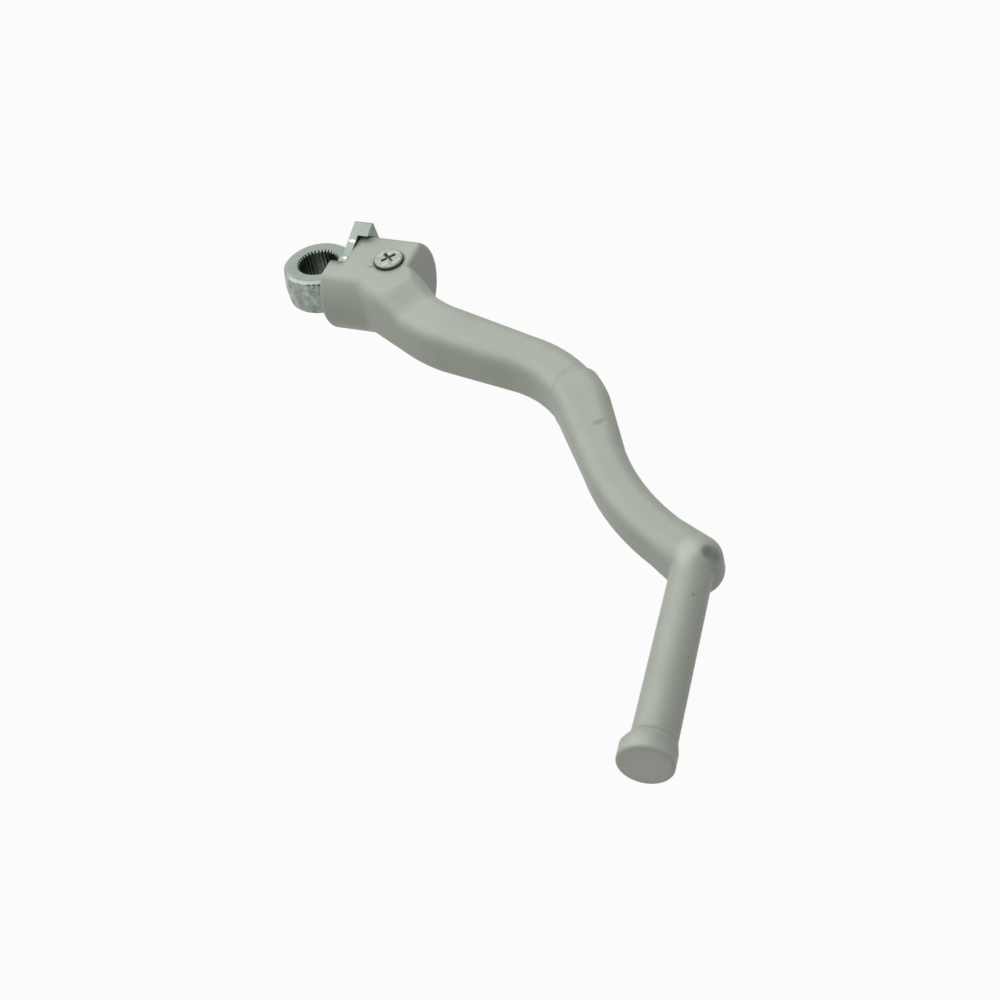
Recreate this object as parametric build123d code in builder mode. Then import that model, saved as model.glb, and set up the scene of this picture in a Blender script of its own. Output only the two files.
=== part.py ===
"""Folding kick start lever: serrated knuckle, cast arm with foot pedal, retaining screw and detent."""

import os
from math import cos, radians, sin, sqrt, tan

from build123d import *

# Frame: origin at the middle of the serrated bore, +Z along the bore out of its open face,
# +X along the stem that the arm turns about. All sizes are in millimetres and degrees.
# Angles about the stem are measured from +Y towards +Z.

# Knuckle ring and serrated bore
RING_FACE_R = 14.4
RING_MIDDLE_R = 15.2
RING_HEIGHT = 16.25
RING_CHAMFER = 0.9
TOOTH_COUNT = 36
TOOTH_TIP_R = 8.2
TOOTH_DEPTH = 0.75
TOOTH_TIP_SHARE = 0.34
TOOTH_ROOT_SHARE = 0.3
BORE_CHAMFER = 0.5

# Knuckle shank, flange and stem
SHANK_WIDTH = 20.0
SHANK_STEP = 1.0
FLANGE_START = 13.0
FLANGE_THICK = 3.5
FLANGE_R = 14.8
STEM_R = 8.0
STEM_LENGTH = 23.5
STEM_CHAMFER = 1.0

# Stop lug: the flange is cut back to a flat ramp, and the lug carries the ramp on outwards
RAMP_ANGLE = 25.0
RAMP_DISTANCE = 12.5
RAMP_FRONT = -2.2
RAMP_FILLET = 1.6
LUG_BACK = 15.1
LUG_LOW_ANGLE = 30.0
LUG_LOW_R = 20.2
LUG_ROOT_R = 13.3
LUG_ROOT_DEPTH = 6.0
LUG_REACH = 4.5
LUG_FILLET = 1.2
LUG_OVERHANG_GAP = 0.4

# Fold of the arm: angle of the arm's plane from the plane square to the bore
REST_FOLD = 5.0
KICK_FOLD = 90.0
INWARD_SWING = 30.0

# Head of the arm
HEAD_R = 19.4
HEAD_END = 44.6
HEAD_FLAT = 14.7
HEAD_FLAT_FILLET = 4.6
HEAD_BACK_FILLET = 1.5
HEAD_END_FILLET = 2.0
SKIRT_LENGTH = 7.4
SKIRT_WALL = 4.2
SKIRT_FILLET = 1.2
FACE_GAP = 0.2
STEM_CLEARANCE = 0.05
STEM_END_GAP = 0.6
STOP_CLEARANCE_ANGLE = 1.5
HEAD_BLEND = 5.0

# Arm: corners of its middle line in the arm's plane, as distance along X and towards the pedal
ARM_START = (24.0, 4.0)
ARM_ROOT = (64.0, 24.2)
ARM_ELBOW = (127.5, 37.8)
ARM_KNEE = (171.5, 99.2)
ARM_END = (207.1, 119.2)
ROOT_RADIUS = 60.0
ELBOW_RADIUS = 55.0
KNEE_RADIUS = 110.0
ROOT_SIZE = 21.8
ELBOW_SIZE = 19.7
KNEE_SIZE = 17.6
END_SIZE = 20.4
ARM_CORNER_R = 6.0
ROOT_RIDGE_R = 8.0
END_CORNER_R = 8.0

# Step at the elbow: past a curved edge the arm stands out on its outer side, top and bottom
STEP_RISE = 0.6
STEP_SHIFT = 0.45
STEP_FRONT_R = 16.0
STEP_FRONT_CENTRE = (143.0, 54.5)
STEP_RUN_IN = 0.4

# Fairing: carries the head's flat on over the arm's root, then falls to the arm's top in a soft S
FAIRING_PROUD = 0.8
FAIRING_BACK = 15.0
FAIRING_RIDGE_R = 10.0
FAIRING_BACK_R = 4.0
FAIRING_INSET = 0.3
FAIRING_LEVEL_SHARE = 0.5
FAIRING_STEPS = 8

# Crease across the arm's top past the elbow, as a round-edged disc would leave it
CREASE_PLACE = 16.6
CREASE_SHIFT = 4.0
CREASE_DEPTH = 0.6
CREASE_R = 14.0
CREASE_EDGE_R = 1.6

# Pocket in the arm's end beside the pedal
POCKET_R = 6.0
POCKET_DEPTH = 1.1
POCKET_TURN = 5.0
POCKET_RISE = 57.0

# Pedal
PEDAL_ROOT = (206.9, 118.0)
PEDAL_LENGTH = 92.8
PEDAL_LEAN = 9.4
PEDAL_ROOT_R = 7.7
PEDAL_BLEND = 1.0
PEDAL_END_R = 8.2
PEDAL_LIFT = 2.7
KNOB_R = 10.1
KNOB_LENGTH = 6.5
KNOB_SHOULDER = 4.6
KNOB_OFFSET = 1.0
KNOB_TILT = 8.0
KNOB_EDGE = 0.9

# Retaining screw
SCREW_PLACE = 35.0
SCREW_HEAD_R = 6.0
SCREW_HEAD_HEIGHT = 2.4
SCREW_HEAD_EDGE = 0.9
SPOT_FACE_DEPTH = 0.8
SPOT_FACE_GAP = 0.4
SCREW_R = 3.0
SCREW_THREAD_GAP = 0.03
SCREW_TIP_R = 2.3
SCREW_TIP_LENGTH = 2.1
TIP_GAP = 0.3
TIP_SIDE_GAP = 0.2
STEM_GROOVE_DEPTH = 1.8
RECESS_LENGTH = 6.6
RECESS_WIDTH = 1.5
RECESS_DEPTH = 1.6
RECESS_TAPER = 8.0
RECESS_TURN = 50.0

# Detent ball and spring
BALL_R = 2.25
BALL_ANGLE = 250.0
BALL_PLACE_R = 11.5
BALL_SINK = 1.0
BALL_GAP = 0.1
BALL_HOLE_DEPTH = 14.0
DIMPLE_DEPTH = 0.3
TRACK_RUN_OUT = 15.0
SPRING_WIRE_R = 0.35
SPRING_COIL_R = 1.8
SPRING_TURNS = 7
SPRING_GAP = 0.05

# Derived places
FLANGE_END = FLANGE_START + FLANGE_THICK
HEAD_START = FLANGE_END + FACE_GAP
SKIRT_START = HEAD_START - SKIRT_LENGTH
SKIRT_INNER_R = HEAD_R - SKIRT_WALL
STEM_END = FLANGE_END + STEM_LENGTH
SWING_TO_KICK = KICK_FOLD - REST_FOLD
WINDOW_START = LUG_LOW_ANGLE - SWING_TO_KICK - STOP_CLEARANCE_ANGLE
WINDOW_END = 90 + REST_FOLD
BALL_PLACE = FLANGE_END + BALL_R - BALL_SINK
STEPPED_SIZE = ELBOW_SIZE + 2 * STEP_RISE
KNOB_START = PEDAL_LENGTH - KNOB_LENGTH
FAIRING_SIDE = ROOT_SIZE / 2 - FAIRING_INSET
FAIRING_TOP = HEAD_FLAT + FAIRING_PROUD

arm_plane = Plane.XY.rotated((REST_FOLD, 0, 0))
arm_normal = arm_plane.z_dir


def polar(radius, angle):
    """Point in a sketch at this radius and angle."""
    return (radius * cos(radians(angle)), radius * sin(radians(angle)))


def square_to_stem(place):
    """Plane square to the stem at this distance along X, with its y axis along the arm's normal."""
    return Plane(origin=(place, 0, 0), x_dir=arm_plane.y_dir, z_dir=(1, 0, 0))


def about_stem(angle):
    """Plane through the stem's axis whose y axis points at this angle about the stem."""
    return Plane.XY.rotated((angle, 0, 0))


def between(start, end, share):
    """Value this share of the way from start to end."""
    return start + (end - start) * share


def in_arm_plane(place, toward_pedal, lift=0.0):
    """Point given along X, towards the pedal and above the arm's plane."""
    return arm_plane.from_local_coords((place, -toward_pedal, lift))


def on_ramp(across):
    """Height of the ramp at this distance along Y."""
    return RAMP_DISTANCE / cos(radians(RAMP_ANGLE)) + across * tan(radians(RAMP_ANGLE))


os.makedirs("parts", exist_ok=True)

# Knuckle: serrated ring, shank, flange with stop lug, and stem
tooth_pitch = 360 / TOOTH_COUNT
groove_mouth = tooth_pitch * (1 - TOOTH_TIP_SHARE) / 2
groove_floor = tooth_pitch * TOOTH_ROOT_SHARE / 2
lug_corners = [
    (0, on_ramp(0) - LUG_ROOT_DEPTH),
    (0, on_ramp(0)),
    (LUG_BACK, on_ramp(LUG_BACK)),
    polar(LUG_LOW_R, LUG_LOW_ANGLE),
    polar(LUG_ROOT_R, LUG_LOW_ANGLE),
]

with BuildPart() as knuckle:
    with BuildSketch(Plane.XZ):
        with BuildLine():
            barrel = ThreePointArc(
                (RING_FACE_R, RING_HEIGHT / 2),
                (RING_MIDDLE_R, 0),
                (RING_FACE_R, -RING_HEIGHT / 2),
            )
            Polyline(barrel @ 1, (0, -RING_HEIGHT / 2), (0, RING_HEIGHT / 2), barrel @ 0)
        make_face()
    revolve(axis=Axis.Z)
    chamfer(knuckle.edges().filter_by(GeomType.CIRCLE), RING_CHAMFER)
    with BuildSketch(Plane.XY.offset(-RING_HEIGHT / 2 + SHANK_STEP)):
        Rectangle(FLANGE_END, SHANK_WIDTH, align=(Align.MIN, Align.CENTER))
    extrude(amount=RING_HEIGHT - 2 * SHANK_STEP)
    with BuildSketch(Plane.YZ.offset(FLANGE_START)):
        Circle(FLANGE_R)
    extrude(amount=FLANGE_THICK)
    with BuildSketch(Plane.YZ.offset(FLANGE_START)) as ramp_notch:
        Polygon(
            (RAMP_FRONT, 2 * FLANGE_R),
            (RAMP_FRONT, on_ramp(RAMP_FRONT)),
            (LUG_BACK, on_ramp(LUG_BACK)),
            (LUG_BACK, 2 * FLANGE_R),
            align=None,
        )
        fillet(ramp_notch.vertices().sort_by(Axis.Y)[0], RAMP_FILLET)
    extrude(amount=FLANGE_THICK, mode=Mode.SUBTRACT)
    with BuildSketch(Plane.YZ.offset(FLANGE_START)) as lug:
        Polygon(*lug_corners, align=None)
        fillet(lug.vertices().sort_by(Axis.X)[-2:], LUG_FILLET)
    extrude(amount=FLANGE_THICK)
    with BuildSketch(Plane.YZ.offset(FLANGE_END)) as lug_overhang:
        Polygon(*lug_corners, align=None)
        fillet(lug_overhang.vertices().sort_by(Axis.X)[-2:], LUG_FILLET)
        Circle(HEAD_R + LUG_OVERHANG_GAP, mode=Mode.SUBTRACT)
    extrude(amount=LUG_REACH)
    with BuildSketch(Plane.YZ.offset(FLANGE_END)):
        Circle(STEM_R)
    extrude(amount=STEM_LENGTH)
    chamfer(knuckle.faces().sort_by(Axis.X)[-1].edges(), STEM_CHAMFER)
    with BuildSketch(Plane.XY):
        with Locations((SCREW_PLACE, STEM_R)):
            Rectangle(2 * (SCREW_TIP_R + TIP_SIDE_GAP), 2 * STEM_GROOVE_DEPTH)
    revolve(axis=Axis.X, mode=Mode.SUBTRACT)
    with BuildSketch(about_stem(BALL_ANGLE - INWARD_SWING - TRACK_RUN_OUT)):
        with Locations((BALL_PLACE, BALL_PLACE_R)):
            Circle(BALL_R + BALL_GAP)
    revolve(
        axis=Axis.X,
        revolution_arc=INWARD_SWING + SWING_TO_KICK + 2 * TRACK_RUN_OUT,
        mode=Mode.SUBTRACT,
    )
    for angle in (BALL_ANGLE, BALL_ANGLE + SWING_TO_KICK):
        with Locations(about_stem(angle).from_local_coords((BALL_PLACE - DIMPLE_DEPTH, BALL_PLACE_R, 0))):
            Sphere(BALL_R + BALL_GAP, mode=Mode.SUBTRACT)
    with BuildSketch(Plane.XY.offset(-RING_HEIGHT / 2)):
        Circle(TOOTH_TIP_R)
        with PolarLocations(0, TOOTH_COUNT, start_angle=tooth_pitch / 2):
            Polygon(
                polar(TOOTH_TIP_R, -groove_mouth),
                polar(TOOTH_TIP_R + TOOTH_DEPTH, -groove_floor),
                polar(TOOTH_TIP_R + TOOTH_DEPTH, groove_floor),
                polar(TOOTH_TIP_R, groove_mouth),
                align=None,
            )
    extrude(amount=RING_HEIGHT, mode=Mode.SUBTRACT)
    for face_height in (-RING_HEIGHT / 2, RING_HEIGHT / 2):
        with BuildSketch(Plane.XZ):
            with Locations((TOOTH_TIP_R, face_height)):
                Rectangle(2 * BORE_CHAMFER, 2 * BORE_CHAMFER, rotation=45)
        revolve(axis=Axis.Z, mode=Mode.SUBTRACT)

knuckle.part.label = "knuckle"
export_step(knuckle.part, "parts/knuckle.step")

# Head of the arm: a barrel with a flat for the screw
with BuildPart() as head:
    with BuildSketch(square_to_stem(SKIRT_START)) as head_section:
        Circle(HEAD_R)
        with Locations((0, HEAD_FLAT)):
            Rectangle(4 * HEAD_R, HEAD_R, align=(Align.CENTER, Align.MIN), mode=Mode.SUBTRACT)
        fillet(head_section.vertices().group_by(Axis.Y)[-1].sort_by(Axis.X)[-1], HEAD_BACK_FILLET)
        fillet(head_section.vertices().group_by(Axis.Y)[-1].sort_by(Axis.X)[0], HEAD_FLAT_FILLET)
    extrude(amount=HEAD_END - SKIRT_START)
    fillet(head.faces().sort_by(Axis.X)[-1].edges(), HEAD_END_FILLET)
    fillet(head.faces().sort_by(Axis.X)[0].edges(), SKIRT_FILLET)

# Limb: straight runs that taper, joined by bends of one size, with a step and a rounded end
with BuildLine(arm_plane) as arm_middle:
    FilletPolyline(
        *[(place, -toward) for place, toward in (ARM_START, ARM_ROOT, ARM_ELBOW, ARM_KNEE, ARM_END)],
        radius=[ROOT_RADIUS, ELBOW_RADIUS, KNEE_RADIUS],
    )
arm_runs = arm_middle.edges().filter_by(GeomType.LINE).sort_by(Axis.X)
arm_bends = arm_middle.edges().filter_by(GeomType.CIRCLE).sort_by(Axis.X)
first_run, second_run, third_run, last_run = arm_runs
root_bend, elbow_bend, knee_bend = arm_bends


def across_arm(stretch, along):
    """Plane square to this stretch of the arm's middle line, with its x axis along the arm's normal."""
    return Plane(origin=stretch @ along, x_dir=arm_normal, z_dir=stretch % along)


with BuildPart() as elbow_step:
    step_path = elbow_bend.trim(STEP_RUN_IN, 1)
    with BuildSketch(across_arm(step_path, 0)):
        with Locations((0, -STEP_SHIFT)):
            RectangleRounded(STEPPED_SIZE, STEPPED_SIZE, ARM_CORNER_R)
    sweep(path=step_path)
    with BuildSketch(Plane(origin=in_arm_plane(*STEP_FRONT_CENTRE), z_dir=arm_normal)):
        Circle(STEP_FRONT_R)
    extrude(amount=STEPPED_SIZE, both=True, mode=Mode.INTERSECT)

with BuildPart() as arm_end:
    with BuildSketch(Plane(origin=in_arm_plane(*ARM_END, -END_SIZE / 2), z_dir=arm_normal)):
        Circle(END_SIZE / 2)
    extrude(amount=END_SIZE)
    fillet(arm_end.edges().filter_by(GeomType.CIRCLE), END_CORNER_R)

towards_ridge = Axis((0, 0, 0), (1, 1, 0))

with BuildPart() as limb:
    for along, ridge_r in ((0, ROOT_RIDGE_R), (1, ARM_CORNER_R)):
        with BuildSketch(across_arm(first_run, along)) as root_section:
            Rectangle(ROOT_SIZE, ROOT_SIZE)
            fillet(root_section.vertices().sort_by(towards_ridge)[:-1], ARM_CORNER_R)
            fillet(root_section.vertices().sort_by(towards_ridge)[-1], ridge_r)
    loft(ruled=True)
    for run, (start_size, end_size), shift, end_corner in (
        (second_run, (ROOT_SIZE, ELBOW_SIZE), 0, ARM_CORNER_R),
        (third_run, (STEPPED_SIZE, KNEE_SIZE), -STEP_SHIFT, ARM_CORNER_R),
        (last_run, (KNEE_SIZE, END_SIZE), 0, END_CORNER_R),
    ):
        with BuildSketch(across_arm(run, 0)):
            with Locations((0, shift)):
                RectangleRounded(start_size, start_size, ARM_CORNER_R)
        with BuildSketch(across_arm(run, 1)):
            RectangleRounded(end_size, end_size, end_corner)
        loft(ruled=True)
    for bend, size in ((root_bend, ROOT_SIZE), (elbow_bend, ELBOW_SIZE), (knee_bend, KNEE_SIZE)):
        with BuildSketch(across_arm(bend, 0)):
            RectangleRounded(size, size, ARM_CORNER_R)
        sweep(path=bend)
    add(elbow_step.part)
    add(arm_end.part)

# Fairing between the head's flat and the arm's top, cut level with the flat
with BuildPart() as fairing:
    for step in range(FAIRING_STEPS + 1):
        share = step / FAIRING_STEPS
        fall = max(0, share - FAIRING_LEVEL_SHARE) / (1 - FAIRING_LEVEL_SHARE)
        soft_fall = fall * fall * (3 - 2 * fall)
        top = between(FAIRING_TOP, FAIRING_SIDE, soft_fall)
        back = between(FAIRING_BACK, FAIRING_SIDE, share)
        back_r = between(FAIRING_BACK_R, ARM_CORNER_R, share)
        ridge_r = between(FAIRING_RIDGE_R, ARM_CORNER_R, share)
        with BuildSketch(across_arm(first_run, share)) as fairing_section:
            Polygon((0, FAIRING_SIDE), (top, FAIRING_SIDE), (top, -back), (0, -back), align=None)
            fillet(fairing_section.vertices().group_by(Axis.X)[-1].sort_by(Axis.Y)[0], back_r)
            fillet(fairing_section.vertices().sort_by(towards_ridge)[-1], ridge_r)
    loft()
    split(bisect_by=arm_plane.offset(HEAD_FLAT), keep=Keep.BOTTOM)

# Pedal: a slightly tapered bar with a domed root and a larger, offset end
pedal_plane = Plane(
    origin=in_arm_plane(*PEDAL_ROOT, PEDAL_LIFT),
    x_dir=in_arm_plane(cos(radians(PEDAL_LEAN)), -sin(radians(PEDAL_LEAN))),
    z_dir=in_arm_plane(sin(radians(PEDAL_LEAN)), cos(radians(PEDAL_LEAN))),
)
knob_face = pedal_plane.offset(PEDAL_LENGTH).rotated((0, -KNOB_TILT, 0))

with BuildPart() as pedal:
    with Locations(pedal_plane.origin):
        Sphere(PEDAL_ROOT_R)
    with BuildSketch(pedal_plane):
        Circle(PEDAL_ROOT_R)
    with BuildSketch(pedal_plane.offset(KNOB_START)):
        Circle(PEDAL_END_R)
    loft()
    with BuildSketch(pedal_plane.offset(KNOB_START - KNOB_SHOULDER)):
        Circle(PEDAL_END_R)
    with BuildSketch(pedal_plane.offset(KNOB_START)):
        with Locations((-KNOB_OFFSET, 0)):
            Circle(KNOB_R)
    loft()
    with BuildSketch(pedal_plane.offset(KNOB_START)):
        with Locations((-KNOB_OFFSET, 0)):
            Circle(KNOB_R)
    extrude(amount=KNOB_LENGTH + KNOB_R)
    split(bisect_by=knob_face, keep=Keep.BOTTOM)
    fillet(pedal.faces().sort_by(Axis(pedal_plane.origin, pedal_plane.z_dir))[-1].edges(), KNOB_EDGE)

# Lever arm: head, limb and pedal are one casting, which is then machined
screw_plane = Plane(
    origin=in_arm_plane(SCREW_PLACE, 0, HEAD_FLAT - SPOT_FACE_DEPTH),
    x_dir=(1, 0, 0),
    z_dir=arm_normal,
)
crease_share = CREASE_PLACE / third_run.length
crease_plane = across_arm(third_run, crease_share)
crease_top = between(STEPPED_SIZE, KNEE_SIZE, crease_share) / 2
crease_middle = crease_plane.from_local_coords((crease_top + CREASE_R - CREASE_DEPTH, -CREASE_SHIFT, 0))
end_flat = END_SIZE / 2 - END_CORNER_R
pocket_reach = END_CORNER_R + POCKET_R - POCKET_DEPTH
pocket_out, pocket_toward = polar(end_flat + pocket_reach * cos(radians(POCKET_RISE)), POCKET_TURN)
pocket_middle = in_arm_plane(
    ARM_END[0] + pocket_out,
    ARM_END[1] + pocket_toward,
    end_flat + pocket_reach * sin(radians(POCKET_RISE)),
)
ball_hole_r = BALL_R + BALL_GAP
ball_hole_place = polar(BALL_PLACE_R, BALL_ANGLE - REST_FOLD)

with BuildPart() as lever_arm:
    add(limb.part)
    add(head.part)
    fillet(new_edges(limb.part, head.part, combined=lever_arm.part), HEAD_BLEND)
    add(fairing.part)
    cast_arm = lever_arm.part
    add(pedal.part)
    fillet(new_edges(cast_arm, pedal.part, combined=lever_arm.part), PEDAL_BLEND)
    with Locations(pocket_middle):
        Sphere(POCKET_R, mode=Mode.SUBTRACT)
    with BuildSketch(Plane(origin=crease_middle, x_dir=crease_plane.z_dir, z_dir=crease_plane.y_dir)):
        with Locations((0, CREASE_EDGE_R - CREASE_R)):
            Circle(CREASE_EDGE_R)
    revolve(axis=Axis(crease_middle, crease_plane.z_dir), mode=Mode.SUBTRACT)
    with BuildSketch(square_to_stem(SKIRT_START)):
        Circle(SKIRT_INNER_R)
    extrude(amount=SKIRT_LENGTH, mode=Mode.SUBTRACT)
    with BuildSketch(about_stem(WINDOW_START)):
        with Locations((SKIRT_START, SKIRT_INNER_R - SKIRT_WALL)):
            Rectangle(SKIRT_LENGTH, 3 * SKIRT_WALL, align=Align.MIN)
    revolve(axis=Axis.X, revolution_arc=WINDOW_END - WINDOW_START, mode=Mode.SUBTRACT)
    with BuildSketch(square_to_stem(HEAD_START)):
        Circle(STEM_R + STEM_CLEARANCE)
    extrude(amount=STEM_END + STEM_END_GAP - HEAD_START, mode=Mode.SUBTRACT)
    with BuildSketch(square_to_stem(HEAD_START)):
        with Locations(ball_hole_place):
            Circle(ball_hole_r)
    extrude(amount=BALL_HOLE_DEPTH, mode=Mode.SUBTRACT)
    with BuildSketch(screw_plane):
        Circle(SCREW_HEAD_R + SPOT_FACE_GAP)
    extrude(amount=HEAD_R, mode=Mode.SUBTRACT)
    with BuildSketch(screw_plane):
        Circle(SCREW_R)
    extrude(amount=-HEAD_FLAT, mode=Mode.SUBTRACT)

lever_arm.part.label = "lever_arm"
export_step(lever_arm.part, "parts/lever_arm.step")

# Retaining screw: pan head with a cross recess, and a plain tip that runs in the stem's groove
tip_end = STEM_R - STEM_GROOVE_DEPTH + TIP_GAP
screw_length = HEAD_FLAT - SPOT_FACE_DEPTH - tip_end

with BuildPart() as retaining_screw:
    with BuildSketch(screw_plane):
        Circle(SCREW_HEAD_R)
    extrude(amount=SCREW_HEAD_HEIGHT)
    fillet(retaining_screw.edges().sort_by(Axis(screw_plane.origin, arm_normal))[-1], SCREW_HEAD_EDGE)
    with BuildSketch(screw_plane):
        Circle(SCREW_R - SCREW_THREAD_GAP)
    extrude(amount=SCREW_TIP_LENGTH - screw_length)
    with BuildSketch(screw_plane):
        Circle(SCREW_TIP_R)
    extrude(amount=-screw_length)
    with BuildSketch(screw_plane.offset(SCREW_HEAD_HEIGHT)):
        Rectangle(RECESS_LENGTH, RECESS_WIDTH, rotation=RECESS_TURN)
        Rectangle(RECESS_WIDTH, RECESS_LENGTH, rotation=RECESS_TURN)
    extrude(amount=-RECESS_DEPTH, taper=RECESS_TAPER, mode=Mode.SUBTRACT)

retaining_screw.part.label = "retaining_screw"
export_step(retaining_screw.part, "parts/retaining_screw.step")

# Detent: a ball that the spring presses into the track on the flange
ball_axis = square_to_stem(BALL_PLACE).from_local_coords((*ball_hole_place, 0))
spring_start = BALL_PLACE + sqrt((BALL_R + SPRING_WIRE_R) ** 2 - SPRING_COIL_R**2) + SPRING_GAP
spring_end = HEAD_START + BALL_HOLE_DEPTH - SPRING_WIRE_R - SPRING_GAP
spring_height = spring_end - spring_start

with BuildPart() as detent_ball:
    with Locations(ball_axis):
        Sphere(BALL_R)

detent_ball.part.label = "detent_ball"
export_step(detent_ball.part, "parts/detent_ball.step")

with BuildPart() as detent_spring:
    with BuildLine():
        coil = Helix(
            pitch=spring_height / SPRING_TURNS,
            height=spring_height,
            radius=SPRING_COIL_R,
            center=(spring_start, ball_axis.Y, ball_axis.Z),
            direction=(1, 0, 0),
        )
    with BuildSketch(Plane(origin=coil @ 0, z_dir=coil % 0)):
        Circle(SPRING_WIRE_R)
    sweep()

detent_spring.part.label = "detent_spring"
export_step(detent_spring.part, "parts/detent_spring.step")
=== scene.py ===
# %% [markdown]
# This is a folding kick start lever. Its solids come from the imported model: a plated knuckle, a
# painted casting, a screw, and a detent ball and spring inside the head. They could be modelled
# again here, but they already have their true shapes and sizes, so this lesson gives them their
# finishes, the light and the camera.

# %% Load the solids
from math import cos, radians, sin

import bpy
from mathutils import Matrix, Quaternion, Vector


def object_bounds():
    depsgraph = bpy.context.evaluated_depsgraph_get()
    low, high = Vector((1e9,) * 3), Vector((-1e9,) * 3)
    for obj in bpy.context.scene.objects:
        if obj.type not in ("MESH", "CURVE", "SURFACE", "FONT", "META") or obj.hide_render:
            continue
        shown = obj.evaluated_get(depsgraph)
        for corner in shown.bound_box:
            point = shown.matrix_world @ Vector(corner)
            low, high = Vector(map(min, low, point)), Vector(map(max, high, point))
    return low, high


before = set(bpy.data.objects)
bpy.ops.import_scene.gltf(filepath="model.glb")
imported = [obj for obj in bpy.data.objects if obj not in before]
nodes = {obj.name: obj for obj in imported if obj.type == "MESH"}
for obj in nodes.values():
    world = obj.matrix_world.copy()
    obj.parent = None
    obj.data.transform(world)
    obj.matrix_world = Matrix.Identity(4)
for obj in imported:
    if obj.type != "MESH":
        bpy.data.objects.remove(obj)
cad_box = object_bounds()
print("solids:", sorted(nodes))

# %% [markdown]
# The photograph looks down on the folded lever with a long lens, and the camera is rolled a
# little. A camera can be placed by a matrix, but three angles about the point it looks at are
# easier to read and to change.

# %% Camera
CAMERA_TARGET = Vector((0.1211, -0.0979, -0.0150))
CAMERA_DISTANCE = 0.9034
CAMERA_AZIMUTH = -59.27
CAMERA_ELEVATION = 40.18
CAMERA_ROLL = -11.63
CAMERA_LENS_MM = 86.76
SENSOR_WIDTH_MM = 36.0


def direction(azimuth, elevation):
    """Unit vector at these angles in degrees, azimuth from +X towards +Y."""
    flat = cos(radians(elevation))
    return Vector((flat * cos(radians(azimuth)), flat * sin(radians(azimuth)), sin(radians(elevation))))


towards_camera = direction(CAMERA_AZIMUTH, CAMERA_ELEVATION)
camera_data = bpy.data.cameras.new("photo_camera")
camera_data.lens = CAMERA_LENS_MM
camera_data.sensor_width = SENSOR_WIDTH_MM
camera = bpy.data.objects.new("photo_camera", camera_data)
bpy.context.scene.collection.objects.link(camera)
camera.location = CAMERA_TARGET + CAMERA_DISTANCE * towards_camera
aim = (-towards_camera).to_track_quat("-Z", "Y")
camera.rotation_mode = "QUATERNION"
camera.rotation_quaternion = aim @ Quaternion((0, 0, 1), radians(CAMERA_ROLL))
bpy.context.scene.camera = camera
bpy.context.scene.view_settings.view_transform = "Standard"
print("camera at", [round(value, 3) for value in camera.location])

# %% [markdown]
# The lever was photographed with soft light from above and from the left. Many small lamps could
# give such light, but one large square lamp close to the object gives it with one soft shadow.

# %% Key light
KEY_AZIMUTH = 172.0
KEY_ELEVATION = 60.0
KEY_DISTANCE = 1.1
KEY_SIZE = 1.8
KEY_WATTS = 14.0

key_lamp = bpy.data.lights.new("key_softbox", "AREA")
key_lamp.size = KEY_SIZE
key_lamp.energy = KEY_WATTS
key = bpy.data.objects.new("key_softbox", key_lamp)
bpy.context.scene.collection.objects.link(key)
towards_key = direction(KEY_AZIMUTH, KEY_ELEVATION)
key.location = CAMERA_TARGET + KEY_DISTANCE * towards_key
key.rotation_mode = "QUATERNION"
key.rotation_quaternion = (-towards_key).to_track_quat("-Z", "Y")
print("key light at", [round(value, 2) for value in key.location])

# %% [markdown]
# The world, the floor and every finish below are small networks of nodes. They could be wired one
# link at a time, but one function that adds a node, applies its settings and fills its inputs lets
# each network be read from top to bottom. Some nodes, such as Mix, carry hidden inputs with the
# same names, so only enabled ones are used. Colours are written as sRGB hex values, as a colour
# picker shows them, and one function turns them to the linear ones that light adds up in.

# %% Two helpers for nodes
def linear(hex_colour):
    """Linear RGBA of an sRGB hex colour."""
    channels = [int(hex_colour[place:place + 2], 16) / 255 for place in (0, 2, 4)]
    return [c / 12.92 if c <= 0.04045 else ((c + 0.055) / 1.055) ** 2.4 for c in channels] + [1.0]


def add(tree, kind, inputs=None, **settings):
    """Add a node with its settings, then set its inputs, or link them to a node or a socket."""
    node = tree.nodes.new(kind)
    for name, value in settings.items():
        setattr(node, name, value)
    by_name = {socket.name: socket for socket in node.inputs if socket.enabled}
    for name, value in (inputs or {}).items():
        socket = node.inputs[name] if isinstance(name, int) else by_name[name]
        if isinstance(value, bpy.types.Node):
            value = next(output for output in value.outputs if output.enabled)
        if isinstance(value, bpy.types.NodeSocket):
            tree.links.new(value, socket)
        else:
            socket.default_value = value
    return node


print("grey 808080 is", round(linear("808080")[0], 3), "in linear light")

# %% [markdown]
# The background of the photograph is plain white. More light would give that too, but it would
# wash out the lever. Instead the world is white only to the camera, in reflections and through
# glass, and it lights the lever from all round at a much lower level. The floor needs the same
# test of where a ray comes from, so that is a function.

# %% World
WORLD_FILL = 0.30
WHITE = "FFFFFF"


def seen(tree):
    """One for a ray from the camera, a reflection or glass, and zero for one that carries light."""
    rays = add(tree, "ShaderNodeLightPath")
    mirrored = add(tree, "ShaderNodeMath", {
        0: rays.outputs["Is Glossy Ray"],
        1: rays.outputs["Is Transmission Ray"],
    }, operation="MAXIMUM")
    return add(tree, "ShaderNodeMath", {
        0: rays.outputs["Is Camera Ray"],
        1: mirrored,
    }, operation="MAXIMUM")


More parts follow.
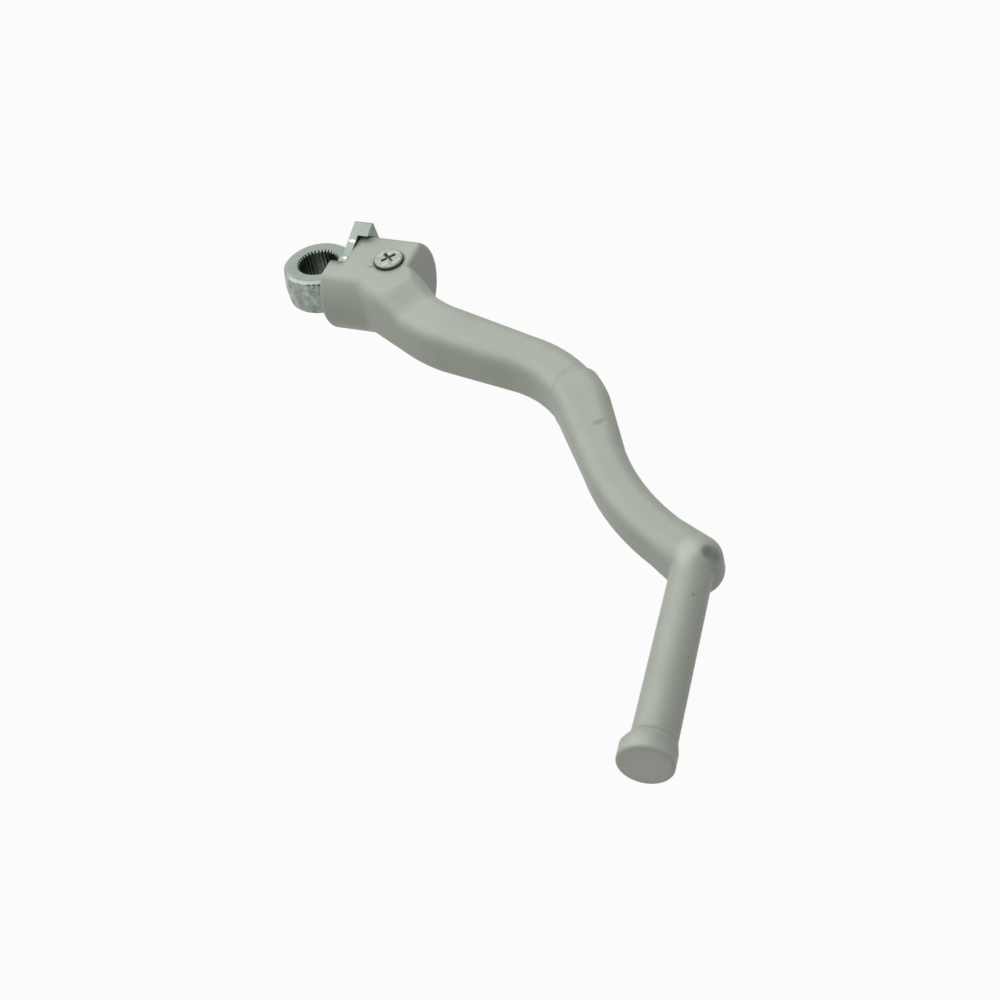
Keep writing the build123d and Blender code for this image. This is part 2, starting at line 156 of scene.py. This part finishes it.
world = bpy.data.worlds.new("white_studio")
bpy.context.scene.world = world
world.use_nodes = True
world_tree = world.node_tree
world_tree.nodes.clear()
world_level = add(world_tree, "ShaderNodeMapRange", {
    "Value": seen(world_tree),
    "To Min": WORLD_FILL,
    "To Max": 1.0,
})
backdrop = add(world_tree, "ShaderNodeBackground", {"Color": linear(WHITE), "Strength": world_level})
add(world_tree, "ShaderNodeOutputWorld", {"Surface": backdrop})
print("world fill", WORLD_FILL)

# %% [markdown]
# The floor is a plain pale sheet. It could touch the lever, but the photograph shows next to no
# shadow, and the pedal needs room to swing down, so it lies some way below and the shadow stays
# soft. Most of what is seen of it is white, in the same way as the world, and the rest is lit
# paper, which keeps the shadow.

# %% Floor
FLOOR_DROP = 0.22
FLOOR_SIZE = 8.0
FLOOR_WHITE_SHARE = 0.93
PAPER = "D6D6D2"

lowest = cad_box[0]
bpy.ops.mesh.primitive_plane_add(size=FLOOR_SIZE, location=(0, 0, lowest[2] - FLOOR_DROP))
floor = bpy.context.object
floor.name = "floor"
paper = bpy.data.materials.new("matt_paper")
paper.use_nodes = True
paper_tree = paper.node_tree
paper_tree.nodes.clear()
white_share = add(paper_tree, "ShaderNodeMath", {
    0: seen(paper_tree),
    1: FLOOR_WHITE_SHARE,
}, operation="MULTIPLY")
lit = add(paper_tree, "ShaderNodeBsdfDiffuse", {"Color": linear(PAPER)})
plain_white = add(paper_tree, "ShaderNodeEmission", {"Color": linear(WHITE)})
sheet = add(paper_tree, "ShaderNodeMixShader", {0: white_share, 1: lit, 2: plain_white})
add(paper_tree, "ShaderNodeOutputMaterial", {"Surface": sheet})
floor.data.materials.append(paper)
print("floor at", round(floor.location.z, 3))

# %% [markdown]
# A finish starts as an empty material that reads the place of each point on the object. It could
# use an unwrapped map instead, but the solids have none, and a pattern in space has no seams. The
# sizes of the patterns are real ones in millimetres and the model is in metres, so two functions
# turn a size to metres and to the scale of a texture. Every solid takes one finish in its slot.

# %% Helpers for finishes
MM_PER_METRE = 1000.0


def new_finish(name):
    """Empty material, its node tree and the object coordinates in it."""
    material = bpy.data.materials.new(name)
    material.use_nodes = True
    material.node_tree.nodes.clear()
    place = add(material.node_tree, "ShaderNodeTexCoord").outputs["Object"]
    return material, material.node_tree, place


def metres(size_mm):
    """This size in metres."""
    return size_mm / MM_PER_METRE


def per_metre(size_mm):
    """Texture scale that gives features of this size in millimetres."""
    return MM_PER_METRE / size_mm


def give_finish(node_name, material):
    """Put this one material on a solid."""
    slots = nodes[node_name].data.materials
    slots.clear()
    slots.append(material)
    print(node_name, "gets", material.name)


print("a noise of 2 mm has the scale", per_metre(2))

# %% [markdown]
# The arm is an aluminium casting sprayed with satin silver-grey paint. To the eye that is a calm
# grey-green with soft, wide highlights and no mirror image. One even colour would look like
# plastic: a real coat is a little uneven over a finger's width, and the metal flake in it makes a
# faint glitter. Real flake is some hundredths of a millimetre, too fine to show, so it is drawn
# coarser. Two noises give both, and the detail of a noise says how many finer layers it adds.

# %% Colour of the silver paint
PAINT_LIGHT = "AFB5AA"
PAINT_DARK = "9CA297"
UNEVEN_MM = 22.0
FLAKE_MM = 0.6
FLAKE_CONTRAST = 0.12
FEW_LAYERS = 1.0
SOME_LAYERS = 3.0

paint, paint_tree, paint_place = new_finish("satin_silver_paint")
uneven = add(paint_tree, "ShaderNodeTexNoise", {
    "Vector": paint_place,
    "Scale": per_metre(UNEVEN_MM),
    "Detail": SOME_LAYERS,
})
flake = add(paint_tree, "ShaderNodeTexNoise", {
    "Vector": paint_place,
    "Scale": per_metre(FLAKE_MM),
    "Detail": FEW_LAYERS,
})
coat = add(paint_tree, "ShaderNodeMix", {
    "Factor": uneven,
    "A": linear(PAINT_DARK),
    "B": linear(PAINT_LIGHT),
}, data_type="RGBA")
paint_colour = add(paint_tree, "ShaderNodeMix", {
    "Factor": FLAKE_CONTRAST,
    "A": coat,
    "B": flake,
}, data_type="RGBA", blend_type="OVERLAY")
print("paint from", PAINT_DARK, "to", PAINT_LIGHT)

# %% [markdown]
# The lever has marks: nicks, specks, dirt and wear, and also places of painted shade and painted
# highlight. Each could be a decal with its own picture, but a soft blob needs none. A Mapping node
# places each point from the middle of the mark in units of its half sizes, and the colour changes
# where the length of that is under one. Middles are given along the stem, towards the pedal and
# above the arm's middle plane, which is folded by 5 degrees.

# %% A helper for marks
ARM_FOLD = 5.0
MARK_CORE = 0.2

fold = Matrix.Rotation(radians(ARM_FOLD), 3, "X")


def mark(tree, place, colour, middle_mm, turn, half_sizes_mm, share, mark_colour):
    """Colour with a soft-edged mark laid over it, turned in the arm's plane."""
    along, toward_pedal, lift = middle_mm
    from_middle = add(tree, "ShaderNodeMapping", {
        "Vector": place,
        "Location": fold @ Vector((along, -toward_pedal, lift)) / MM_PER_METRE,
        "Rotation": (fold @ Matrix.Rotation(radians(turn), 3, "Z")).to_euler(),
        "Scale": Vector(half_sizes_mm) / MM_PER_METRE,
    }, vector_type="TEXTURE")
    distance = add(tree, "ShaderNodeVectorMath", {0: from_middle}, operation="LENGTH")
    cover = add(tree, "ShaderNodeMapRange", {
        "Value": distance,
        "From Min": 1.0,
        "From Max": MARK_CORE,
        "To Max": share,
    }, interpolation_type="SMOOTHSTEP")
    return add(tree, "ShaderNodeMix", {
        "Factor": cover,
        "A": colour,
        "B": linear(mark_colour),
    }, data_type="RGBA")


print("the arm's plane is folded by", ARM_FOLD, "degrees")

# %% [markdown]
# On the paint there is a nick beside the screw and a speck on the pedal. Painted shade darkens the
# spot face round the screw, the elbow's step, the crease, the pocket beside the pedal and the
# pedal's shoulder. A painted highlight lightens the pedal's root, and its end is lighter, partly
# worn and partly as painted light. Such marks could come from one noise all over, but each sits in
# its own place, so they are listed by name: middle, turn, half sizes, share of the colour, and colour.

# %% Marks in the paint
# The dark colour marks real nicks and specks of dirt, and it is also used as painted shade.
DIRT_AND_SHADE = "3B3E38"
HIGHLIGHT_AND_WEAR_PAINT = "D9DED5"
PEDAL_LEAN = 9.4
PAINT_MARKS = {
    "nick": ((28.9, 4.9, 14.7), 17.0, (3.2, 0.4, 0.5), 0.8, DIRT_AND_SHADE),
    "speck": ((214.8, 140.2, 9.4), 0.0, (0.95, 0.95, 1.1), 0.45, DIRT_AND_SHADE),
    # The next five marks darken the paint as painted shade, where shade falls in hollows and gaps.
    "painted shade round the screw": ((35.0, 0.0, 13.8), 0.0, (8.4, 8.4, 0.9), 0.85, DIRT_AND_SHADE),
    "painted shade at the elbow's step": ((128.9, 43.6, 9.6), 65.5, (8.5, 1.7, 2.4), 0.13, DIRT_AND_SHADE),
    "painted shade in the crease": ((152.3, 66.1, 9.1), 41.5, (3.8, 1.6, 1.5), 0.13, DIRT_AND_SHADE),
    "painted shade in the pocket": ((213.6, 119.7, 7.6), 0.0, (5.8, 4.4, 4.6), 0.6, DIRT_AND_SHADE),
    "painted shade at the shoulder": ((220.5, 200.1, 2.7), PEDAL_LEAN, (25.0, 1.4, 25.0), 0.2, DIRT_AND_SHADE),
    # The next two lighten the paint: a painted highlight on the pedal's root, and wear with painted light
    # on its end.
    "painted highlight at the root": ((206.0, 122.5, 10.2), PEDAL_LEAN, (6.0, 9.5, 5.0), 0.34, HIGHLIGHT_AND_WEAR_PAINT),
    "wear and painted highlight at the end": ((221.1, 209.7, 2.7), PEDAL_LEAN, (19.0, 9.0, 19.0), 0.35, HIGHLIGHT_AND_WEAR_PAINT),
}

for details in PAINT_MARKS.values():
    paint_colour = mark(paint_tree, paint_place, paint_colour, *details)
print("marks in the paint:", ", ".join(PAINT_MARKS))

# %% [markdown]
# The skin of a casting is not quite flat, and sprayed paint dries with a finer ripple, called
# orange peel. Modelled ripples would cost many faces, so two Bump nodes give them to the light
# alone. Paint also fills the corners of a casting and softens its edges, which a Bevel node does
# for the light in the same way. The flake makes the gloss vary a little from point to point.

# %% Surface of the silver paint
CAST_SKIN_MM = 3.5
CAST_SKIN_DEPTH_MM = 0.08
ORANGE_PEEL_MM = 0.9
ORANGE_PEEL_DEPTH_MM = 0.015
PAINT_BUMP_STRENGTH = 0.35
EDGE_SOFTNESS_MM = 2.5
EDGE_SAMPLES = 8
PAINT_SMOOTH = 0.42
PAINT_ROUGH = 0.58
PAINT_METALLIC = 0.15
PAINT_SPECULAR = 0.4

cast_skin = add(paint_tree, "ShaderNodeTexNoise", {
    "Vector": paint_place,
    "Scale": per_metre(CAST_SKIN_MM),
})
orange_peel = add(paint_tree, "ShaderNodeTexNoise", {
    "Vector": paint_place,
    "Scale": per_metre(ORANGE_PEEL_MM),
})
soft_edges = add(paint_tree, "ShaderNodeBevel", {"Radius": metres(EDGE_SOFTNESS_MM)}, samples=EDGE_SAMPLES)
skin_bump = add(paint_tree, "ShaderNodeBump", {
    "Height": cast_skin,
    "Distance": metres(CAST_SKIN_DEPTH_MM),
    "Strength": PAINT_BUMP_STRENGTH,
    "Normal": soft_edges,
})
peel_bump = add(paint_tree, "ShaderNodeBump", {
    "Height": orange_peel,
    "Distance": metres(ORANGE_PEEL_DEPTH_MM),
    "Strength": PAINT_BUMP_STRENGTH,
    "Normal": skin_bump,
})
paint_gloss = add(paint_tree, "ShaderNodeMapRange", {
    "Value": flake,
    "To Min": PAINT_SMOOTH,
    "To Max": PAINT_ROUGH,
})
paint_shader = add(paint_tree, "ShaderNodeBsdfPrincipled", {
    "Base Color": paint_colour,
    "Roughness": paint_gloss,
    "Metallic": PAINT_METALLIC,
    "Specular IOR Level": PAINT_SPECULAR,
    "Normal": peel_bump,
})
add(paint_tree, "ShaderNodeOutputMaterial", {"Surface": paint_shader})
give_finish("lever_arm", paint)

# %% [markdown]
# The knuckle is a steel forging with bright zinc plate. Plate follows every pit of the forged
# skin, so the eye sees small light and dark patches with a cold tone. They could be painted on a
# picture, but a noise with many layers breaks up in the same way. Its values lie mostly between
# two limits, so a Map Range node stretches those to the full contrast.

# %% Forged plate on the knuckle
PLATE_BRIGHT = "A7B1A9"
PLATE_DULL = "7A857D"
PATCH_MM = 3.2
PATCH_BREAKUP = 0.6
MANY_LAYERS = 4.0
NOISE_LOW = 0.35
NOISE_HIGH = 0.65

plate, plate_tree, plate_place = new_finish("bright_zinc_plate")
patches = add(plate_tree, "ShaderNodeTexNoise", {
    "Vector": plate_place,
    "Scale": per_metre(PATCH_MM),
    "Detail": MANY_LAYERS,
    "Roughness": PATCH_BREAKUP,
})
patch_share = add(plate_tree, "ShaderNodeMapRange", {
    "Value": patches,
    "From Min": NOISE_LOW,
    "From Max": NOISE_HIGH,
})
forged = add(plate_tree, "ShaderNodeMix", {
    "Factor": patch_share,
    "A": linear(PLATE_DULL),
    "B": linear(PLATE_BRIGHT),
}, data_type="RGBA")
print("forged plate from", PLATE_DULL, "to", PLATE_BRIGHT)

# %% [markdown]
# The machined faces of the knuckle, which are the ring's top and bottom and the flange with its
# lug, are calmer. They could be a second material, but all of this is one coat of plate, so it is
# one material, and the place of each point says which skin is under it: its height above or below
# the bore's middle, and its distance along the stem.

# %% Machined faces of the knuckle
MACHINED_BRIGHT = "838C84"
MACHINED_DULL = "727B73"
SMEAR_MM = 7.0
FACED_FROM_MM = 7.95
FLANGE_FROM_MM = 12.8
SOFT_EDGE_MM = 0.15

plate_axes = add(plate_tree, "ShaderNodeSeparateXYZ", {"Vector": plate_place})
height = add(plate_tree, "ShaderNodeMath", {0: plate_axes.outputs["Z"]}, operation="ABSOLUTE")
smears = add(plate_tree, "ShaderNodeTexNoise", {
    "Vector": plate_place,
    "Scale": per_metre(SMEAR_MM),
    "Detail": SOME_LAYERS,
})
machined = add(plate_tree, "ShaderNodeMix", {
    "Factor": smears,
    "A": linear(MACHINED_DULL),
    "B": linear(MACHINED_BRIGHT),
}, data_type="RGBA")
on_face = add(plate_tree, "ShaderNodeMapRange", {
    "Value": height,
    "From Min": metres(FACED_FROM_MM - SOFT_EDGE_MM),
    "From Max": metres(FACED_FROM_MM),
})
on_flange = add(plate_tree, "ShaderNodeMapRange", {
    "Value": plate_axes.outputs["X"],
    "From Min": metres(FLANGE_FROM_MM - SOFT_EDGE_MM),
    "From Max": metres(FLANGE_FROM_MM),
})
on_machined = add(plate_tree, "ShaderNodeMath", {0: on_face, 1: on_flange}, operation="MAXIMUM")
skins = add(plate_tree, "ShaderNodeMix", {
    "Factor": on_machined,
    "A": forged,
    "B": machined,
}, data_type="RGBA")
print("machined plate from", MACHINED_DULL, "to", MACHINED_BRIGHT)

# %% [markdown]
# The ring's edge is painted bright as a highlight. It could be picked out by its faces, but the mesh
# is many small triangles, so it is found by its height and by its distance from the bore's axis
# instead. Setting the third coordinate to zero and measuring the length of the rest gives that distance.

# %% Painted highlight on the ring's edge
PAINTED_EDGE_HIGHLIGHT = "8E9890"
EDGE_FROM_MM = 7.5
EDGE_RADIUS_MM = 13.2
ACROSS_AXIS = (1, 1, 0)

plate_across = add(plate_tree, "ShaderNodeVectorMath", {
    0: plate_place,
    1: ACROSS_AXIS,
}, operation="MULTIPLY")
radius = add(plate_tree, "ShaderNodeVectorMath", {0: plate_across}, operation="LENGTH")
near_face = add(plate_tree, "ShaderNodeMapRange", {
    "Value": height,
    "From Min": metres(EDGE_FROM_MM - SOFT_EDGE_MM),
    "From Max": metres(EDGE_FROM_MM),
})
near_rim = add(plate_tree, "ShaderNodeMapRange", {
    "Value": radius,
    "From Min": metres(EDGE_RADIUS_MM),
    "From Max": metres(EDGE_RADIUS_MM + SOFT_EDGE_MM),
})
on_edge = add(plate_tree, "ShaderNodeMath", {0: near_face, 1: near_rim}, operation="MULTIPLY")
off_flange = add(plate_tree, "ShaderNodeMath", {0: 1.0, 1: on_flange}, operation="SUBTRACT")
ring_edge = add(plate_tree, "ShaderNodeMath", {0: on_edge, 1: off_flange}, operation="MULTIPLY")
# The ring's edge is painted brighter here as a highlight.
edge_highlight = add(plate_tree, "ShaderNodeMix", {
    "Factor": ring_edge,
    "A": skins,
    "B": linear(PAINTED_EDGE_HIGHLIGHT),
}, data_type="RGBA")
print("bright edge outside a radius of", EDGE_RADIUS_MM, "mm")

# %% [markdown]
# The serrated bore holds old oil. The plate's colour darkens with the depth in the bore, partly for
# the oil and partly as painted shade, so the teeth shine only at the two faces and sink into the
# dark between them. A separate oil film would hardly show. Two spots on the ramp are painted bright
# as glints, and a few specks of dirt sit under the ring's edge. They are listed in the same way as
# the marks in the paint.

# %% Oil and painted shade in the bore, painted glints and specks
OIL_AND_SHADE_DARK = "6E756E"
OIL_AND_SHADE_RADIUS_MM = 9.3
OIL_AND_SHADE_FULL_HEIGHT_MM = 5.5
RING_HALF_HEIGHT_MM = 8.1
PAINTED_GLINT_BRIGHT = "D4DCD8"
PLATE_MARKS = {
    # The two spots on the ramp are painted glints; the four specks are dirt.
    "upper painted glint": ((15.0, -7.5, 16.0), 0.0, (2.6, 1.1, 1.2), 0.6, PAINTED_GLINT_BRIGHT),
    "lower painted glint": ((15.6, 1.5, 14.7), 0.0, (1.8, 1.2, 1.2), 0.6, PAINTED_GLINT_BRIGHT),
    "left speck": ((2.4, 13.7, 8.2), 0.0, (1.5, 1.6, 0.7), 0.75, DIRT_AND_SHADE),
    "middle speck": ((4.7, 13.3, 8.1), 0.0, (1.2, 1.6, 0.9), 0.85, DIRT_AND_SHADE),
    "right speck": ((6.5, 12.6, 7.8), 0.0, (1.1, 1.6, 1.0), 0.75, DIRT_AND_SHADE),
    "lower speck": ((4.4, 13.7, 6.8), 0.0, (1.8, 1.6, 0.6), 0.5, DIRT_AND_SHADE),
}

# The plate darkens with the depth in the bore, partly for oil and partly as painted shade.
in_bore = add(plate_tree, "ShaderNodeMapRange", {
    "Value": radius,
    "From Min": metres(OIL_AND_SHADE_RADIUS_MM + SOFT_EDGE_MM),
    "From Max": metres(OIL_AND_SHADE_RADIUS_MM),
})
from_face = add(plate_tree, "ShaderNodeMapRange", {
    "Value": height,
    "From Min": metres(RING_HALF_HEIGHT_MM),
    "From Max": metres(OIL_AND_SHADE_FULL_HEIGHT_MM),
})
oil_and_shade_share = add(plate_tree, "ShaderNodeMath", {0: in_bore, 1: from_face}, operation="MULTIPLY")
plate_colour = add(plate_tree, "ShaderNodeMix", {
    "Factor": oil_and_shade_share,
    "A": edge_highlight,
    "B": linear(OIL_AND_SHADE_DARK),
}, data_type="RGBA")
for details in PLATE_MARKS.values():
    plate_colour = mark(plate_tree, plate_place, plate_colour, *details)
print("oil and painted shade inside a radius of", OIL_AND_SHADE_RADIUS_MM, "mm, and marks:", ", ".join(PLATE_MARKS))

# %% [markdown]
# A forging has shallow pits, and plate has a fine grain. They could be carved into the mesh, but
# as on the paint they are bumps on the light. The dull patches are also rougher than the bright
# ones, which breaks up the highlights, and the machined faces have no pits.

# %% Surface of the plate
FORGED_PIT_MM = 2.2
FORGED_PIT_DEPTH_MM = 0.2
PLATE_GRAIN_MM = 0.6
PLATE_GRAIN_DEPTH_MM = 0.03
PLATE_BUMP_STRENGTH = 0.5
PLATE_ROUGH = 0.46
PLATE_SMOOTH = 0.28

pits = add(plate_tree, "ShaderNodeTexNoise", {
    "Vector": plate_place,
    "Scale": per_metre(FORGED_PIT_MM),
    "Detail": SOME_LAYERS,
})
plate_grain = add(plate_tree, "ShaderNodeTexNoise", {
    "Vector": plate_place,
    "Scale": per_metre(PLATE_GRAIN_MM),
})
pit_depth = add(plate_tree, "ShaderNodeMapRange", {
    "Value": on_machined,
    "To Min": metres(FORGED_PIT_DEPTH_MM),
    "To Max": 0.0,
})
pit_bump = add(plate_tree, "ShaderNodeBump", {
    "Height": pits,
    "Distance": pit_depth,
    "Strength": PLATE_BUMP_STRENGTH,
})
grain_bump = add(plate_tree, "ShaderNodeBump", {
    "Height": plate_grain,
    "Distance": metres(PLATE_GRAIN_DEPTH_MM),
    "Strength": PLATE_BUMP_STRENGTH,
    "Normal": pit_bump,
})
plate_gloss = add(plate_tree, "ShaderNodeMapRange", {
    "Value": patch_share,
    "To Min": PLATE_ROUGH,
    "To Max": PLATE_SMOOTH,
})
plate_shader = add(plate_tree, "ShaderNodeBsdfPrincipled", {
    "Base Color": plate_colour,
    "Roughness": plate_gloss,
    "Metallic": 1.0,
    "Normal": grain_bump,
})
add(plate_tree, "ShaderNodeOutputMaterial", {"Surface": plate_shader})
give_finish("knuckle", plate)

# %% [markdown]
# The screw is plated too, but its plate is dull and a little yellow, with rubbed patches. It could
# share the knuckle's finish, but in the photograph the two differ, so it gets its own, made in the
# same way with smaller patches.

# %% Dull plate on the screw
SCREW_BRIGHT = "9AA195"
SCREW_DULL = "858C80"
RUB_MM = 2.0

screw_plate, screw_tree, screw_place = new_finish("dull_zinc_plate")
rubs = add(screw_tree, "ShaderNodeTexNoise", {
    "Vector": screw_place,
    "Scale": per_metre(RUB_MM),
    "Detail": MANY_LAYERS,
})
rub_share = add(screw_tree, "ShaderNodeMapRange", {
    "Value": rubs,
    "From Min": NOISE_LOW,
    "From Max": NOISE_HIGH,
})
screw_metal = add(screw_tree, "ShaderNodeMix", {
    "Factor": rub_share,
    "A": linear(SCREW_DULL),
    "B": linear(SCREW_BRIGHT),
}, data_type="RGBA")
print("screw plate from", SCREW_DULL, "to", SCREW_BRIGHT)

# %% [markdown]
# The screw's cross recess takes an even grey, and painted shade darkens the foot of its head. Both
# could be painted by hand, but they can be found by their place: how far below the top of the head,
# and how far from the screw's own axis. A Mapping node turns the object coordinates so that their
# third axis lies along the screw.

# %% Recess grey and painted shade on the screw
SCREW_PLACE_MM = 35.0
SCREW_TOP_MM = 16.3
RECESS_REACH_MM = 3.4
RECESS_GREY = "8E948A"
RECESS_FROM_MM = 0.3
RECESS_FULL_MM = 0.9
FOOT_PAINTED_SHADE = "565C54"
FOOT_FROM_MM = 0.2
FOOT_FULL_MM = 0.8

along_screw = add(screw_tree, "ShaderNodeMapping", {
    "Vector": screw_place,
    "Location": (metres(SCREW_PLACE_MM), 0, 0),
    "Rotation": fold.to_euler(),
}, vector_type="TEXTURE")
screw_axes = add(screw_tree, "ShaderNodeSeparateXYZ", {"Vector": along_screw})
screw_across = add(screw_tree, "ShaderNodeVectorMath", {
    0: along_screw,
    1: ACROSS_AXIS,
}, operation="MULTIPLY")
screw_radius = add(screw_tree, "ShaderNodeVectorMath", {0: screw_across}, operation="LENGTH")
near_axis = add(screw_tree, "ShaderNodeMath", {
    0: screw_radius,
    1: metres(RECESS_REACH_MM),
}, operation="LESS_THAN")
off_axis = add(screw_tree, "ShaderNodeMath", {0: 1.0, 1: near_axis}, operation="SUBTRACT")
screw_colour = screw_metal
# The recess takes an even grey, and the foot of the head is darkened as painted shade.
for recess_grey_and_foot_shade, from_mm, full_mm, where in (
    (RECESS_GREY, RECESS_FROM_MM, RECESS_FULL_MM, near_axis),
    (FOOT_PAINTED_SHADE, FOOT_FROM_MM, FOOT_FULL_MM, off_axis),
):
    below_top = add(screw_tree, "ShaderNodeMapRange", {
        "Value": screw_axes.outputs["Z"],
        "From Min": metres(SCREW_TOP_MM - from_mm),
        "From Max": metres(SCREW_TOP_MM - full_mm),
    })
    recess_and_foot_share = add(screw_tree, "ShaderNodeMath", {0: below_top, 1: where}, operation="MULTIPLY")
    screw_colour = add(screw_tree, "ShaderNodeMix", {
        "Factor": recess_and_foot_share,
        "A": screw_colour,
        "B": linear(recess_grey_and_foot_shade),
    }, data_type="RGBA")
print("grey in the recess from", RECESS_FROM_MM, "mm and at the foot from", FOOT_FROM_MM, "mm down")

# %% [markdown]
# A driver has slipped over the head now and then, so it is covered in fine scratches. Drawn
# one by one they would be too thin to show, so a noise gives them as bumps on the light, and the
# rubbed patches are a little smoother than the dull ones.

# %% Surface of the screw
SCRATCH_MM = 0.8
SCRATCH_DEPTH_MM = 0.03
SCRATCH_STRENGTH = 0.5
SCREW_ROUGH = 0.5
SCREW_SMOOTH = 0.36
SCREW_METALLIC = 0.8

scratches = add(screw_tree, "ShaderNodeTexNoise", {
    "Vector": screw_place,
    "Scale": per_metre(SCRATCH_MM),
    "Detail": SOME_LAYERS,
})
scratch_bump = add(screw_tree, "ShaderNodeBump", {
    "Height": scratches,
    "Distance": metres(SCRATCH_DEPTH_MM),
    "Strength": SCRATCH_STRENGTH,
})
screw_gloss = add(screw_tree, "ShaderNodeMapRange", {
    "Value": rub_share,
    "To Min": SCREW_ROUGH,
    "To Max": SCREW_SMOOTH,
})
screw_shader = add(screw_tree, "ShaderNodeBsdfPrincipled", {
    "Base Color": screw_colour,
    "Roughness": screw_gloss,
    "Metallic": SCREW_METALLIC,
    "Normal": scratch_bump,
})
add(screw_tree, "ShaderNodeOutputMaterial", {"Surface": screw_shader})
give_finish("retaining_screw", screw_plate)

# %% [markdown]
# The detent's ball is ground bearing steel, bright and smooth, and its spring is drawn steel wire,
# grey and a little rougher. They are out of sight in the head, but a view of the parts by
# themselves shows them. Each could have its own network, but both are bare steel with a fine
# grain, so one function makes both finishes. Real grain is too fine to show, so it is coarser here.

# %% Bearing steel and spring wire
BALL_LIGHT = "C9CCCF"
BALL_DARK = "B4B8BC"
BALL_GRAIN_MM = 0.4
BALL_ROUGHNESS = 0.12
WIRE_LIGHT = "9A9EA2"
WIRE_DARK = "7C8084"
WIRE_GRAIN_MM = 0.5
WIRE_ROUGHNESS = 0.3
STEEL_GRAIN_DEPTH_MM = 0.01
STEEL_BUMP_STRENGTH = 0.4
GLOSS_SPREAD = 0.08


def bare_steel(name, dark, light, grain_mm, roughness):
    """Steel with a grain of this size, from this roughness upwards."""
    material, tree, place = new_finish(name)
    steel_grain = add(tree, "ShaderNodeTexNoise", {
        "Vector": place,
        "Scale": per_metre(grain_mm),
        "Detail": SOME_LAYERS,
    })
    colour = add(tree, "ShaderNodeMix", {
        "Factor": steel_grain,
        "A": linear(dark),
        "B": linear(light),
    }, data_type="RGBA")
    gloss = add(tree, "ShaderNodeMapRange", {
        "Value": steel_grain,
        "To Min": roughness,
        "To Max": roughness + GLOSS_SPREAD,
    })
    steel_bump = add(tree, "ShaderNodeBump", {
        "Height": steel_grain,
        "Distance": metres(STEEL_GRAIN_DEPTH_MM),
        "Strength": STEEL_BUMP_STRENGTH,
    })
    shader = add(tree, "ShaderNodeBsdfPrincipled", {
        "Base Color": colour,
        "Roughness": gloss,
        "Metallic": 1.0,
        "Normal": steel_bump,
    })
    add(tree, "ShaderNodeOutputMaterial", {"Surface": shader})
    return material


ball_steel = bare_steel("ground_bearing_steel", BALL_DARK, BALL_LIGHT, BALL_GRAIN_MM, BALL_ROUGHNESS)
wire_steel = bare_steel("drawn_spring_wire", WIRE_DARK, WIRE_LIGHT, WIRE_GRAIN_MM, WIRE_ROUGHNESS)
give_finish("detent_ball", ball_steel)
give_finish("detent_spring", wire_steel)
